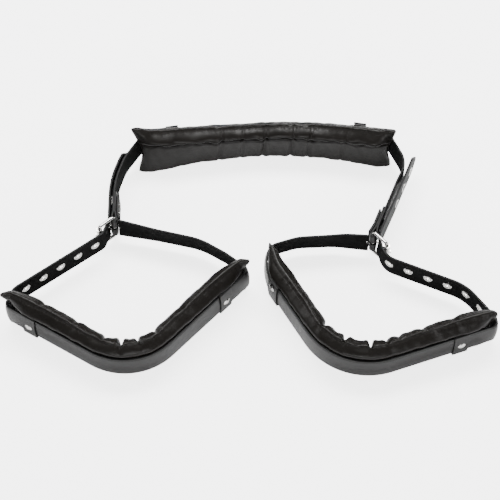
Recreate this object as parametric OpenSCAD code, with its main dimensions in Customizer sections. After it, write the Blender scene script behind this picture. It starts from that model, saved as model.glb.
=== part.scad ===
// Padded strap sling: a long neck pad on a strap that carries two padded leg loops.
// Millimetres. X runs across the sling, Y away from the wearer's front, Z up.
// The sling stands on the long edges of its three pads.

/* [Strap] */
// Width of every strap, standing on edge
strap_w = 36; // [30:1:44]
// Thickness of the strap
strap_t = 2.6; // [2:0.1:3]
// Height of the strap's lower edge above the table
strap_z = 13; // [10:1:16]

/* [Pads] */
// Height of a pad between its two long seams
pad_h = 65; // [60:1:72]
// Thickness of the neck pad at its fullest
neck_pad_t = 26; // [20:1:30]
// Thickness of a leg pad at its fullest
leg_pad_t = 26; // [20:1:28]
// Thickness of the pads' leather covers
cover_t = 1.2; // [0.8:0.1:2]

/* [Eyelets] */
// Distance between two eyelets
eyelet_pitch = 25.4; // [24:0.2:26]
// Radius of the hole through an eyelet
eyelet_r = 3; // [2.5:0.1:3.4]
// Radius of an eyelet's flange
flange_r = 6; // [5.5:0.1:6.5]
// Eyelets between the left buckle and its pad
left_eyelets_n = 5; // [3:1:5]
// Eyelets between the right buckle and its pad
right_eyelets_n = 6; // [3:1:6]
// Eyelets on each loose tail
tail_eyelets_n = 3; // [1:1:3]

/* [Buckles] */
// Distance from the heel bar to the roller bar
buckle_l = 23; // [22:0.5:26]
// Clear height inside the buckle's frame
buckle_h = 38; // [37:0.5:44]
// Radius of the buckle's wire
wire_r = 2; // [1.8:0.1:2.2]
// Radius of the roller
roller_r = 3.5; // [3.2:0.1:4]
// Radial play of the roller on its bar
roller_play = 0.08; // [0.05:0.01:0.1]

/* [Keepers] */
// Width of the leather tabs that hold the strap on the leg pads
tab_w = 19; // [14:1:22]
// Width of the leather loops behind the neck pad
neck_tab_w = 15.5; // [12:0.5:20]
// Thickness of the tabs' leather
tab_t = 1.8; // [1.2:0.1:2.4]
// Radius of a rivet's domed head
rivet_r = 5; // [4:0.5:6]

/* [Hidden] */
$fn = 48;
eps = 0.01;
strap_mid = strap_z + strap_w / 2;
pad_mid = pad_h / 2;
seam_t = 1.8;            // half thickness of a pad's flat sewn ends
pad_gap = 0.3;           // strap to pad
centre = [0, 11.2];      // moves the plan so that its box is centred on the origin

// Buckles: heel bar's place, then the way the frame points, then the way the neck strap leaves.
left_heel = [-168, 17];
left_aim = [-0.76, -0.65];
left_up = [0, 1];
right_heel = [152, -5];
right_aim = [0.69, -0.724];
right_up = [0.36, 0.933];

// Corners of each strap's centre line, [x, y, bend radius], from the neck side to the buckle.
left_loop_way = [
    [-158, 17.2, 0], [-114, 4.5, 150], [-62, -11, 90], [-26, -33, 60], [5, -50, 9],
    [-136, -200.5, 79], [-301, -101.5, 8], [-290, -83, 25], [-182.1, -3.6, 8],
    [-175, 16.6, 0]];
right_loop_way = [
    [143.5, -5.8, 0], [111, -3, 150], [58, -6, 60], [17, -19, 20], [17, -56, 60],
    [103, -200.5, 88], [303, -130, 8], [262, -76, 60], [165.8, -35, 25], [159, -6.4, 0]];
neck_way = [
    [-169.5, 17, 0], [-169.5, 72, 130], [-158, 107, 60], [-137, 140, 22], [-60, 152, 600],
    [39, 161, 500], [120, 154, 600], [176, 144, 14], [197, 100, 34], [184, 72, 80],
    [152, -5, 0]];
neck_pad_way = [
    [-141, 124.5, 0], [-60, 137.5, 400], [39, 146, 500], [120, 139.5, 400], [179, 128, 0]];
left_tail_way = [[-174.7, 20.2, 0], [-174.7, 72.8, 130], [-162.7, 109.3, 60], [-154.1, 122.8, 0]];
right_tail_way = [[159.8, -3.1, 0], [178.5, 41, 160], [209, 117, 0]];

// ---- Plan paths ----

function unit(v) = v / norm(v);
function left_of(v) = [-v.y, v.x];
function xy(p) = [p.x, p.y];

// One corner of a path as an arc's points; the first and last corners are plain points.
function corner(a, b, c) =
    let(u = unit(xy(b) - xy(a)), v = unit(xy(c) - xy(b)),
        turn = acos(max(-1, min(1, u * v))), side = u.x * v.y - u.y * v.x > 0 ? 1 : -1,
        reach = b[2] * tan(turn / 2), start = xy(b) - u * reach,
        hub = start + left_of(u) * side * b[2], n = max(1, ceil(turn / 6)))
    turn < 1 ? [xy(b)] : [for (i = [0:n])
        let(a0 = -side * left_of(u), t = side * turn * i / n)
        hub + b[2] * [a0.x * cos(t) - a0.y * sin(t), a0.x * sin(t) + a0.y * cos(t)]];
function rounded(way) = let(n = len(way)) concat(
    [xy(way[0])],
    [for (i = [1:n - 2]) each corner(way[i - 1], way[i], way[i + 1])],
    [xy(way[n - 1])]);

// Distance along a path to each of its points, then the place and direction at a distance.
function run(path, i = 0, s = 0) = i == len(path) - 1 ? [s]
    : concat([s], run(path, i + 1, s + norm(path[i + 1] - path[i])));
function span_at(runs, s, i = 0) =
    i >= len(runs) - 2 || runs[i + 1] >= s ? i : span_at(runs, s, i + 1);
function place(path, runs, s) =
    let(i = span_at(runs, s), t = (s - runs[i]) / (runs[i + 1] - runs[i]))
    path[i] + (path[i + 1] - path[i]) * t;
function heading(path, runs, s) =
    unit(place(path, runs, s + 3) - place(path, runs, s - 3));
// The normal of a path at each point, for thickening it.
function normals(path) = let(n = len(path)) [for (i = [0:n - 1])
    let(a = path[max(i - 1, 0)], b = path[min(i + 1, n - 1)]) left_of(unit(b - a))];
function band(path, t) = let(q = normals(path), n = len(path)) concat(
    [for (i = [0:n - 1]) path[i] + q[i] * t / 2],
    [for (i = [n - 1:-1:0]) path[i] - q[i] * t / 2]);
function total(path) = let(r = run(path)) r[len(r) - 1];
function nearest(path, runs, p, s = 0, best = 0, d = 1e9) = s > runs[len(runs) - 1] ? best
    : let(e = norm(place(path, runs, s) - p))
      nearest(path, runs, p, s + 0.5, e < d ? s : best, min(e, d));

left_loop = rounded(left_loop_way);
right_loop = rounded(right_loop_way);
neck = rounded(neck_way);
left_tail = rounded(left_tail_way);
right_tail = rounded(right_tail_way);

module strap(path) {
    translate([0, 0, strap_z]) linear_extrude(strap_w) polygon(band(path, strap_t));
}

// Puts its children at a distance along a path, with X along the strap and Y to its left.
module on_path(path, s, off = 0) {
    runs = run(path);
    p = place(path, runs, s);
    h = heading(path, runs, s);
    translate([p.x, p.y, strap_mid]) rotate([0, 0, atan2(h.y, h.x)]) translate([0, off, 0])
        children();
}

// ---- Fittings ----

module hole(r, reach = 12) {
    rotate([90, 0, 0]) cylinder(r = r, h = reach, center = true);
}

// A two-sided metal eyelet: a straight barrel and two flanges with a softened rim.
module eyelet() {
    lip = 0.8;
    half = strap_t / 2 + 0.05;
    rotate([90, 0, 0]) rotate_extrude() polygon([
        [eyelet_r, -half - lip], [flange_r - 0.8, -half - lip], [flange_r, -half - 0.2],
        [flange_r, -half], [eyelet_r + 0.7, -half], [eyelet_r + 0.7, half],
        [flange_r, half], [flange_r, half + 0.2], [flange_r - 0.8, half + lip],
        [eyelet_r, half + lip]]);
}

// The hole that an eyelet needs in a strap, and flat faces for its flanges where the strap bends.
module eyelet_seat() {
    hole(eyelet_r + 0.8);
    for (a = [0, 180]) rotate([0, 0, a]) translate([0, strap_t / 2 + 0.02, 0])
        rotate([-90, 0, 0]) cylinder(r = flange_r + 0.25, h = 3);
}

// A rivet: a domed head outside, a shank, and a washer inside. Y points to the head.
module rivet(depth, washer = 0.8, head = rivet_r) {
    dome = 1.8;
    rotate([-90, 0, 0]) {
        intersection() {
            translate([0, 0, dome - (head * head + dome * dome) / (2 * dome)])
                sphere(r = (head * head + dome * dome) / (2 * dome), $fn = 96);
            cylinder(r = head + 1, h = dome + 1);
        }
        translate([0, 0, -depth]) cylinder(r = 1.6, h = depth + 0.2);
        translate([0, 0, -depth - washer]) cylinder(r = 3.4, h = washer);
    }
}

// Eyelets and their holes, counted back from the end of a path.
module row_on(path, first, count) {
    for (i = [0:count - 1]) on_path(path, total(path) - first - i * eyelet_pitch) children();
}

// ---- Pads ----

// Plumpness along the pad, 0 at its sewn ends and 1 in the middle.
function plump(u) = sqrt(max(0, 1 - pow(abs(u), 6)));
// Stations along a pad: [middle, outward normal, half thickness]. out is +1 or -1.
// off is the pad's distance from the path at its fullest, and lean how far its ends close up.
function stations(path, s0, s1, t, out, off, lean, n = 34) = let(runs = run(path)) [for (i = [0:n])
    let(u = sin(90 * (2 * i / n - 1)), s = s0 + (s1 - s0) * (u + 1) / 2,
        half = seam_t + (t / 2 - seam_t) * plump(u), q = left_of(heading(path, runs, s)) * out)
    [place(path, runs, s) - q * (off - (t / 2 - half) * lean), q, half]];
// Half of a section's rim, from the lower seam to the upper one; way is +1 outside, -1 inside.
function rim(st, way, wall, k) = [for (j = [0:k])
    let(a = -90 + 180 * j / k, half = max(st[2] - wall, 0.2))
    [st[0].x + way * st[1].x * half * cos(a), st[0].y + way * st[1].y * half * cos(a),
     pad_mid + (pad_mid - wall) * sin(a)]];
// Skins a list of closed rings, all with the same count of points. cap lists an end's faces.
module skin(rings, cap) {
    n = len(rings);
    k = len(rings[0]);
    polyhedron(
        points = [for (r = rings) each r],
        faces = concat(
            cap,
            [for (i = [0:n - 2], j = [0:k - 1])
                [i * k + j, (i + 1) * k + j, i * k + (j + 1) % k]],
            [for (i = [0:n - 2], j = [0:k - 1])
                [i * k + (j + 1) % k, (i + 1) * k + j, (i + 1) * k + (j + 1) % k]],
            [for (f = cap) [for (j = flip(f)) (n - 1) * k + j]]),
        convexity = 6);
}
function flip(list) = [for (i = [len(list) - 1:-1:0]) list[i]];
module cover(sts, way, k = 8) {
    rings = [for (st = sts) concat(rim(st, way, 0, k), flip(rim(st, way, cover_t, k)))];
    m = 2 * k + 1;
    cap = [for (j = [0:k - 1]) each [[j, j + 1, m - j - 1], [j, m - j - 1, m - j]]];
    skin(way > 0 ? rings : [for (r = rings) flip(r)],
        way > 0 ? cap : [for (f = cap) [m - f[2], m - f[1], m - f[0]]]);
}
module foam(sts, k = 6) {
    inner = [for (i = [2:len(sts) - 3]) sts[i]];
    skin([for (st = inner) concat(rim(st, 1, cover_t + 0.3, k),
        [for (j = [1:k - 1]) rim(st, -1, cover_t + 0.3, k)[k - j]])],
        [[for (j = [0:2 * k - 1]) j]]);
}

// Where each pad lies along its strap.
neck_runs = run(neck);
neck_pad = rounded(neck_pad_way);
neck_sts = stations(neck_pad, 0, total(neck_pad), neck_pad_t, 1, 0, 0);
leg_off = strap_t / 2 + pad_gap + leg_pad_t / 2;
left_runs = run(left_loop);
left_pad_s = [nearest(left_loop, left_runs, [-3, -57]) + 1,
    nearest(left_loop, left_runs, [-295, -105]) - 1];
left_sts = stations(left_loop, left_pad_s[0], left_pad_s[1], leg_pad_t, 1, leg_off, 0.55);
right_runs = run(right_loop);
right_pad_s = [nearest(right_loop, right_runs, [17, -36]) + 1,
    nearest(right_loop, right_runs, [297, -132.5]) - 1];
right_sts = stations(right_loop, right_pad_s[0], right_pad_s[1], leg_pad_t, -1, leg_off, 0.55);

// ---- Tabs that hold the strap on a pad ----

// A leather tab over the strap, its ends turned in to the pad above and below the strap.
// way is the side of the strap that the tab covers: +1 to its left, -1 to its right.
module tab(path, s, width, way, lift = 0) {
    rise = strap_w + 10;
    face = strap_t / 2 + 0.1;
    on_path(path, s) mirror([0, way > 0 ? 0 : 1, 0]) difference() {
        translate([-width / 2, -4, -rise / 2]) cube([width, face + 4 + tab_t, rise]);
        translate([-width / 2 - 1, -5, -rise / 2 + tab_t])
            cube([width + 2, face + 5, rise - 2 * tab_t]);
        translate([0, 0, lift]) hole(1.7);
    }
}
module tab_rivet(path, s, way, lift = 0) {
    on_path(path, s, way * (strap_t / 2 + 0.1 + tab_t)) rotate([0, 0, way > 0 ? 0 : 180])
        translate([0, 0, lift]) rivet(strap_t + tab_t + 0.15, 0.2);
}

neck_tab_s = [nearest(neck, neck_runs, [-98, 141]), nearest(neck, neck_runs, [138, 143])];
left_tab_s = [nearest(left_loop, left_runs, [-31, -87]), nearest(left_loop, left_runs, [-264, -121])];
right_tab_s = [nearest(right_loop, right_runs, [29, -76]),
    nearest(right_loop, right_runs, [252, -147])];
// How far each leg tab's rivet sits above the strap's middle, inner tab first.
left_lift = [0, 0];
right_lift = [11, 0];

// ---- Buckles ----

// Puts its children on a heel bar, with X pointing along the frame to the roller.
module at_heel(heel, aim) {
    translate([heel.x, heel.y, strap_mid]) rotate([0, 0, atan2(aim.y, aim.x)]) children();
}
module buckle_frame() {
    r = wire_r;
    bend = 3;
    top = buckle_h / 2 + r;
    for (x = [0, buckle_l]) translate([x, 0, 0])
        cylinder(r = r, h = 2 * (top - bend) + eps, center = true);
    for (z = [-top, top]) translate([bend, 0, z]) rotate([0, 90, 0])
        cylinder(r = r, h = buckle_l - 2 * bend);
    for (x = [0, 1], z = [0, 1]) translate([x * buckle_l, 0, 0]) mirror([x, 0, 0]) mirror([0, 0, z])
        translate([bend, 0, top - bend]) rotate([90, 0, 0]) rotate([0, 0, 90])
            rotate_extrude(angle = 90) translate([bend, 0]) circle(r = r);
}
module buckle_roller() {
    translate([buckle_l, 0, 0]) difference() {
        cylinder(r = roller_r, h = buckle_h - 4, center = true);
        cylinder(r = wire_r + roller_play, h = buckle_h, center = true);
    }
}
// The prong curls round the heel bar and its tip rests on the roller. out is +1 or -1.
module buckle_prong(out) {
    t = 3.2;
    eye = wire_r + 0.08;
    tip = buckle_l + 3;
    rise = roller_r + 0.1;
    difference() {
        union() {
            cylinder(r = eye + 1.5, h = t, center = true);
            mirror([0, out > 0 ? 0 : 1, 0]) translate([0, 0, -t / 2]) linear_extrude(t) polygon([
                [0, eye - 0.1], [buckle_l - 5, rise], [tip, rise], [tip + 0.6, rise + 0.8],
                [tip - 0.4, rise + 1.8], [buckle_l - 5, rise + 2.2], [0, eye + 1.5]]);
        }
        cylinder(r = eye, h = t + 1, center = true);
    }
}
// Room that the prong needs in the straps round the heel bar and between the bars.
module prong_slot(out) {
    cylinder(r = 8.5, h = 5, center = true);
    translate([10, out * 2, 0]) cylinder(r = 8.5, h = 5, center = true);
}

// The neck strap's end: round the heel bar and back up as a flap on the loop's inner side.
layer = strap_t / 2 + 0.15;      // from the middle of two riveted layers to either one's middle
function turned_end(heel, up, side, flap) =
    let(n = unit(up), q = [n.y, -n.x] * side, r = wire_r + 0.3 + strap_t / 2)
    concat(
        [heel + q * layer + n * 24, heel + q * layer + n * 12],
        [for (a = [0:15:180]) heel + r * (q * cos(a) - n * sin(a))],
        [heel - q * layer + n * 12, heel - q * layer + n * flap]);

neck_whole = concat(
    flip(turned_end(left_heel, left_up, -1, 40)),
    [for (i = [1:len(neck) - 2]) neck[i]],
    turned_end(right_heel, right_up, 1, 42));

// The leg strap's riveted end, lying on the flap's inner side.
function strap_end(heel, up, side) =
    let(n = unit(up), q = [n.y, -n.x] * side, off = wire_r + 0.3 + strap_t * 1.5 + 0.2)
    [heel - q * off + n * 1.5, heel - q * layer * 3 + n * 13, heel - q * layer * 3 + n * 36];

module end_rivets(heel, up, side) {
    n = unit(up);
    for (d = [17, 29]) translate([heel.x + n.x * d, heel.y + n.y * d, strap_mid])
        rotate([0, 0, atan2(n.y, n.x) + (side > 0 ? 180 : 0)])
            translate([0, layer + strap_t / 2 + 0.25, 0]) children();
}

// ---- Sub-parts ----

module neck_pad_front_cover() {
    color("#1c1c1e") cover(neck_sts, -1);
}
module neck_pad_back_cover() {
    color("#1c1c1e") cover(neck_sts, 1);
}
module neck_pad_foam() {
    color("#4a4a48") foam(neck_sts);
}
module neck_strap() {
    color("#141416") difference() {
        strap(neck_whole);
        at_heel(left_heel, left_aim) prong_slot(-1);
        at_heel(right_heel, right_aim) prong_slot(1);
        end_rivets(left_heel, left_up, -1) hole(1.7, 30);
        end_rivets(right_heel, right_up, 1) hole(1.7, 30);
        for (s = neck_tab_s) on_path(neck, s) hole(1.7);
    }
}
module neck_tabs() {
    color("#1a1a1c") for (s = neck_tab_s) tab(neck, s, neck_tab_w, 1);
}
module neck_tab_rivets() {
    color("silver") for (s = neck_tab_s) tab_rivet(neck, s, 1);
}

module strap_end_part(heel, up, side) {
    color("#141416") difference() {
        strap(strap_end(heel, up, side));
        end_rivets(heel, up, side) hole(1.7, 30);
    }
}
module strap_tail_part(path, heel, aim, out) {
    color("#141416") difference() {
        strap(path);
        at_heel(heel, aim) prong_slot(out);
        row_on(path, 22, tail_eyelets_n) eyelet_seat();
        on_path(path, total(path)) for (a = [0, 180]) rotate([a, 0, 0])
            translate([0.5, -10, 1.5]) rotate([0, -50, 0]) cube([40, 20, 40]);
    }
}
module loop_strap_part(path, heel, aim, out, count, tabs, lift) {
    color("#141416") difference() {
        strap(path);
        at_heel(heel, aim) prong_slot(out);
        row_on(path, 33, count) eyelet_seat();
        for (i = [0, 1]) on_path(path, tabs[i]) translate([0, 0, lift[i]]) hole(1.7);
    }
}

module left_strap_end() {
    strap_end_part(left_heel, left_up, -1);
}
module left_strap_rivets() {
    color("silver") end_rivets(left_heel, left_up, -1) rivet(layer * 4 + strap_t + 0.4);
}
module left_strap_tail() {
    strap_tail_part(left_tail, left_heel, left_aim, -1);
}
module left_tail_eyelets() {
    color("silver") row_on(left_tail, 22, tail_eyelets_n) eyelet();
}
module left_loop_strap() {
    loop_strap_part(left_loop, left_heel, left_aim, -1, left_eyelets_n, left_tab_s,
        left_lift);
}
module left_eyelets() {
    color("silver") row_on(left_loop, 33, left_eyelets_n) eyelet();
}
module left_buckle_frame() {
    color("silver") at_heel(left_heel, left_aim) buckle_frame();
}
module left_buckle_roller() {
    color("gainsboro") at_heel(left_heel, left_aim) buckle_roller();
}
module left_buckle_prong() {
    color("silver") at_heel(left_heel, left_aim) buckle_prong(-1);
}
module left_pad_outer_cover() {
    color("#1c1c1e") cover(left_sts, 1);
}
module left_pad_inner_cover() {
    color("#1c1c1e") cover(left_sts, -1);
}
module left_pad_foam() {
    color("#4a4a48") foam(left_sts);
}
module left_pad_tab_outer() {
    color("#1a1a1c") tab(left_loop, left_tab_s[1], tab_w, 1);
}
module left_pad_tab_inner() {
    color("#1a1a1c") tab(left_loop, left_tab_s[0], tab_w, 1);
}
module left_tab_rivets() {
    color("silver") for (i = [0, 1]) tab_rivet(left_loop, left_tab_s[i], 1, left_lift[i]);
}

module right_strap_end() {
    strap_end_part(right_heel, right_up, 1);
}
module right_strap_rivets() {
    color("silver") end_rivets(right_heel, right_up, 1) rivet(layer * 4 + strap_t + 0.4);
}
module right_strap_tail() {
    strap_tail_part(right_tail, right_heel, right_aim, 1);
}
module right_tail_eyelets() {
    color("silver") row_on(right_tail, 22, tail_eyelets_n) eyelet();
}
module right_loop_strap() {
    loop_strap_part(right_loop, right_heel, right_aim, 1, right_eyelets_n, right_tab_s,
        right_lift);
}
module right_eyelets() {
    color("silver") row_on(right_loop, 33, right_eyelets_n) eyelet();
}
module right_buckle_frame() {
    color("silver") at_heel(right_heel, right_aim) buckle_frame();
}
module right_buckle_roller() {
    color("gainsboro") at_heel(right_heel, right_aim) buckle_roller();
}
module right_buckle_prong() {
    color("silver") at_heel(right_heel, right_aim) buckle_prong(1);
}
module right_pad_outer_cover() {
    color("#1c1c1e") cover(right_sts, 1);
}
module right_pad_inner_cover() {
    color("#1c1c1e") cover(right_sts, -1);
}
module right_pad_foam() {
    color("#4a4a48") foam(right_sts);
}
module right_pad_tab_outer() {
    color("#1a1a1c") tab(right_loop, right_tab_s[1], tab_w, -1);
}
module right_pad_tab_inner() {
    color("#1a1a1c") tab(right_loop, right_tab_s[0], tab_w, -1, right_lift[0]);
}
module right_tab_rivets() {
    color("silver") for (i = [0, 1]) tab_rivet(right_loop, right_tab_s[i], -1, right_lift[i]);
}

translate([centre.x, centre.y, 0]) {
    neck_pad_front_cover();
    neck_pad_back_cover();
    neck_pad_foam();
    neck_strap();
    neck_tabs();
    neck_tab_rivets();
    left_strap_end();
    left_strap_rivets();
    left_strap_tail();
    left_tail_eyelets();
    left_loop_strap();
    left_eyelets();
    left_buckle_frame();
    left_buckle_roller();
    left_buckle_prong();
    left_pad_outer_cover();
    left_pad_inner_cover();
    left_pad_foam();
    left_pad_tab_outer();
    left_pad_tab_inner();
    left_tab_rivets();
    right_strap_end();
    right_strap_rivets();
    right_strap_tail();
    right_tail_eyelets();
    right_loop_strap();
    right_eyelets();
    right_buckle_frame();
    right_buckle_roller();
    right_buckle_prong();
    right_pad_outer_cover();
    right_pad_inner_cover();
    right_pad_foam();
    right_pad_tab_outer();
    right_pad_tab_inner();
    right_tab_rivets();
}
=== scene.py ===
"""A padded strap sling on a pale floor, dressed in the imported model's own frame.

Each sub-assembly is a class that cuts, stuffs and places its own pieces. Straps, tabs and pads are
made straight along X, as a harness maker lays them on the bench, and are then bent along the route
that they follow on the sling.
"""

import logging
import math
from collections.abc import Callable, Iterable
from dataclasses import dataclass, field
from enum import Enum

import bpy
import numpy as np
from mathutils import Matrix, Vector


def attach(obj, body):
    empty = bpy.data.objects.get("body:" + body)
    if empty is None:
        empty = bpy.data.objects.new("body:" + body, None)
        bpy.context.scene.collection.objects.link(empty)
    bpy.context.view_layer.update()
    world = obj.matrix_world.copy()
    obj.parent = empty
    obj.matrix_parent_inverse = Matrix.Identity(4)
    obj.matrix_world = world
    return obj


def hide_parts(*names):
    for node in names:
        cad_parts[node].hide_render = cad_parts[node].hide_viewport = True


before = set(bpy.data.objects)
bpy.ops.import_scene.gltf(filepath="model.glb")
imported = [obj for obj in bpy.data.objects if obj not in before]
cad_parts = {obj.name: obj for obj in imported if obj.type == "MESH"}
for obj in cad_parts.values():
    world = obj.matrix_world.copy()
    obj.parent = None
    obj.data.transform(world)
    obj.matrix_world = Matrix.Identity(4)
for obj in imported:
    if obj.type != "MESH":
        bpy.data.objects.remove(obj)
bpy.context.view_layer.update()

log = logging.getLogger("sling")

MM = 0.001
CENTRE = (0.0, 11.2)  # the plan's own zero in the frame, in millimetres
STRAP_W = 36 * MM
STRAP_T = 2.6 * MM
STRAP_Z = 31 * MM  # height of the straps' middle
EYELET_PITCH = 25.4 * MM
EYELET_HOLE_R = 3.85 * MM
PAD_H = 65 * MM
PAD_T = 26 * MM
PAD_OFF = 14.6 * MM  # from a leg pad's middle to its strap's middle
PANEL_H = 78 * MM  # a pad's flat panel, before it is stuffed
SEAM_LINE = 35.5 * MM  # the rim seam, from the panel's middle
SEAM_T = 1.8 * MM
STITCH_LINE = 15 * MM  # the straps' stitching, from their middle
TAB_T = 1.8 * MM
BOW = 1.3 * MM  # how far a strap's edges curl from its middle
STUFFING_STEPS = 20
STUFFING_REACH = 22 * MM  # the furthest that stuffing may push the leather

Place = tuple[float, float]
Bend = tuple[float, float, float]


class Side(Enum):
    """Which side of a route faces away from the wearer: +1 is to the left of travel."""

    LEFT = 1
    RIGHT = -1


class Finish(Enum):
    """The finishes that the sling's pieces take, by the record's slot."""

    PAD = "pad_leather"
    STRAP = "strap_leather"


# ---------------------------------------------------------------- bench work


class Bench:
    """Blender's operators, wrapped so that nothing is worked on by accident."""

    @staticmethod
    def clear() -> None:
        """Leaves edit mode and deselects everything."""
        if bpy.context.object and bpy.context.object.mode != "OBJECT":
            bpy.ops.object.mode_set(mode="OBJECT")
        bpy.ops.object.select_all(action="DESELECT")

    @staticmethod
    def take(*objs: bpy.types.Object) -> bpy.types.Object:
        """Selects only these objects.

        Args:
            objs: the objects; the first becomes the active one.

        Returns:
            The active object.
        """
        Bench.clear()
        for obj in objs:
            obj.select_set(True)
        bpy.context.view_layer.objects.active = objs[0]
        return objs[0]

    @staticmethod
    def bar(name: str, low: Vector, high: Vector) -> bpy.types.Object:
        """Adds a block between two corners, its place in its mesh.

        Args:
            name: the piece's name.
            low: its lowest corner in metres.
            high: its highest corner in metres.

        Returns:
            The new block.
        """
        Bench.clear()
        bpy.ops.mesh.primitive_cube_add(size=1, location=(low + high) / 2)
        obj = bpy.context.object
        obj.name = obj.data.name = name
        obj.scale = high - low
        bpy.ops.object.transform_apply(location=True, rotation=True, scale=True)
        return obj

    @staticmethod
    def pick_edges(obj: bpy.types.Object, test: Callable[[Vector], bool]) -> None:
        """Selects edges in edit mode.

        Args:
            obj: the mesh.
            test: True for the run of an edge, from its first vertex to its second.
        """
        Bench.take(obj)
        mesh = obj.data
        for v in mesh.vertices:
            v.select = False
        for f in mesh.polygons:
            f.select = False
        for e in mesh.edges:
            a, b = (mesh.vertices[i].co for i in e.vertices)
            e.select = test(b - a)
        bpy.ops.object.mode_set(mode="EDIT")
        bpy.ops.mesh.select_mode(type="EDGE")

    @staticmethod
    def shift(obj: bpy.types.Object, test: Callable[[np.ndarray], np.ndarray], by: Vector) -> None:
        """Moves the vertices that pass a test with the translate operator.

        Args:
            obj: the mesh.
            test: takes the vertices' places and gives a mask.
            by: the move in metres.
        """
        Bench.take(obj)
        mask = test(Bench.places(obj))
        if not mask.any():
            return
        mesh = obj.data
        mesh.polygons.foreach_set("select", np.zeros(len(mesh.polygons), bool))
        mesh.edges.foreach_set("select", np.zeros(len(mesh.edges), bool))
        mesh.vertices.foreach_set("select", mask)
        bpy.ops.object.mode_set(mode="EDIT")
        bpy.ops.mesh.select_mode(type="VERT")
        bpy.ops.transform.translate(value=by)
        bpy.ops.object.mode_set(mode="OBJECT")

    @staticmethod
    def slice(obj: bpy.types.Object, axis: int, at: Iterable[float]) -> None:
        """Cuts rows of edges across a mesh with bisect.

        Args:
            obj: the mesh.
            axis: 0, 1 or 2 for the normal of the cuts.
            at: where the cuts are, in metres.
        """
        Bench.take(obj)
        bpy.ops.object.mode_set(mode="EDIT")
        no = [0.0, 0.0, 0.0]
        no[axis] = 1.0
        for p in at:
            co = [0.0, 0.0, 0.0]
            co[axis] = p
            bpy.ops.mesh.select_all(action="SELECT")
            bpy.ops.mesh.bisect(plane_co=co, plane_no=no)
        bpy.ops.object.mode_set(mode="OBJECT")

    @staticmethod
    def trim(obj: bpy.types.Object, co: Vector, no: Vector) -> None:
        """Cuts away what lies on a plane's normal side and closes the cut.

        Args:
            obj: the mesh.
            co: a point of the plane.
            no: its normal.
        """
        Bench.take(obj)
        bpy.ops.object.mode_set(mode="EDIT")
        bpy.ops.mesh.select_all(action="SELECT")
        bpy.ops.mesh.bisect(plane_co=co, plane_no=no, clear_outer=True, use_fill=True)
        bpy.ops.object.mode_set(mode="OBJECT")

    @staticmethod
    def places(obj: bpy.types.Object) -> np.ndarray:
        """The vertices' places.

        Args:
            obj: the mesh.

        Returns:
            Rows of x, y and z in metres.
        """
        co = np.empty(len(obj.data.vertices) * 3)
        obj.data.vertices.foreach_get("co", co)
        return co.reshape(-1, 3)

    @staticmethod
    def put(obj: bpy.types.Object, co: np.ndarray) -> None:
        """Writes the vertices' places back."""
        obj.data.vertices.foreach_set("co", co.ravel())
        obj.data.update()

    @staticmethod
    def apply(obj: bpy.types.Object, kind: str, **values: object) -> None:
        """Adds a modifier and applies it.

        Args:
            obj: the mesh.
            kind: the modifier's type.
            values: its settings.
        """
        Bench.take(obj)
        mod = obj.modifiers.new(kind.title(), kind)
        for key, value in values.items():
            setattr(mod, key, value)
        bpy.ops.object.modifier_apply(modifier=mod.name)

    @staticmethod
    def cut(obj: bpy.types.Object, cutters: list[bpy.types.Object]) -> None:
        """Takes cutters out of a mesh and throws them away.

        Args:
            obj: the mesh.
            cutters: the closed shapes to take out.
        """
        if not cutters:
            return
        Bench.take(*cutters)
        if len(cutters) > 1:
            bpy.ops.object.join()
        tool = bpy.context.object
        Bench.apply(obj, "BOOLEAN", object=tool, operation="DIFFERENCE", solver="EXACT")
        bpy.data.objects.remove(tool, do_unlink=True)

    @staticmethod
    def punch(x: float, z: float, r: float) -> bpy.types.Object:
        """A round cutter through a straight strap.

        Args:
            x: its distance along the strap.
            z: its height from the strap's middle.
            r: its radius.

        Returns:
            The cutter.
        """
        Bench.clear()
        bpy.ops.mesh.primitive_cylinder_add(
            vertices=32, radius=r, depth=0.02, location=(x, 0, z), rotation=(math.pi / 2, 0, 0))
        return bpy.context.object

    @staticmethod
    def chart(obj: bpy.types.Object) -> None:
        """Keeps the straight piece's length and height as its UV map, in metres.

        Args:
            obj: the straight piece.
        """
        mesh = obj.data
        co = Bench.places(obj)
        uv = mesh.uv_layers.get("chart") or mesh.uv_layers.new(name="chart")
        index = np.empty(len(mesh.loops), dtype=np.int32)
        mesh.loops.foreach_get("vertex_index", index)
        uv.data.foreach_set("uv", co[index][:, [0, 2]].ravel())

    @staticmethod
    def smooth(obj: bpy.types.Object, degrees: float = 35) -> None:
        """Shades a piece smooth but for its sharp edges."""
        Bench.take(obj)
        bpy.ops.object.shade_smooth_by_angle(angle=math.radians(degrees))


# ---------------------------------------------------------------- routes


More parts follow.
